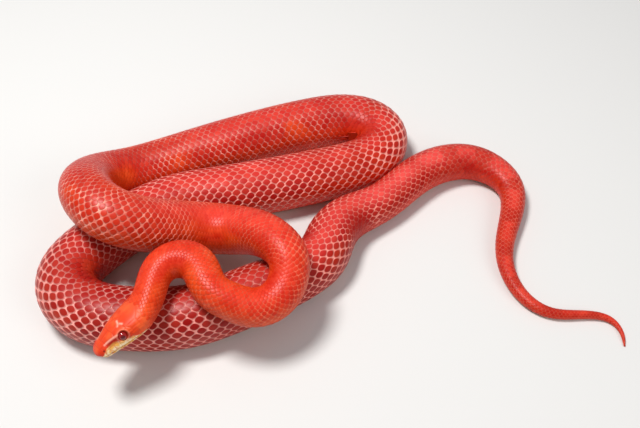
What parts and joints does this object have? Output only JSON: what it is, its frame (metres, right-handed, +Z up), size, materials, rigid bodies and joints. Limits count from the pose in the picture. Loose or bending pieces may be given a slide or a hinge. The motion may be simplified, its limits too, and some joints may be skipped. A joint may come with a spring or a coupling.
{
  "type": "corn snake",
  "caption": "Red corn snake at rest in a loose pile of coils, head laid over the nearest coil, tail trailing to one side; a still, life-size figure.",
  "frame": {"origin": "middle of the footprint on the floor, under the coils", "axes": "+X to the tail's side, along the longest extent; +Y away from the side the head points to; +Z up"},
  "size_m": [0.2946, 0.1869, 0.0572],
  "materials": {
    "fore_skin": "satin",
    "body_skin": "satin",
    "tail_skin": "satin",
    "eye": "gloss"
  },
  "bodies": {
    "root": {"head": "fore_skin", "left_eye": "eye", "right_eye": "eye", "neck_rise": "fore_skin", "neck_fall": "fore_skin", "front_loop": "fore_skin", "upper_coil": "fore_skin", "crossing_coil": "fore_skin", "left_turn": "body_skin", "back_arm": "body_skin", "right_turn": "body_skin", "middle_arm": "body_skin", "under_crossing": "body_skin", "lower_turn": "body_skin", "front_coil": "body_skin", "hind_rise": "body_skin", "hind_body": "body_skin", "hind_hump": "tail_skin", "tail_root": "tail_skin", "tail_middle": "tail_skin", "tail_tip": "tail_skin"}
  },
  "joints": []
}
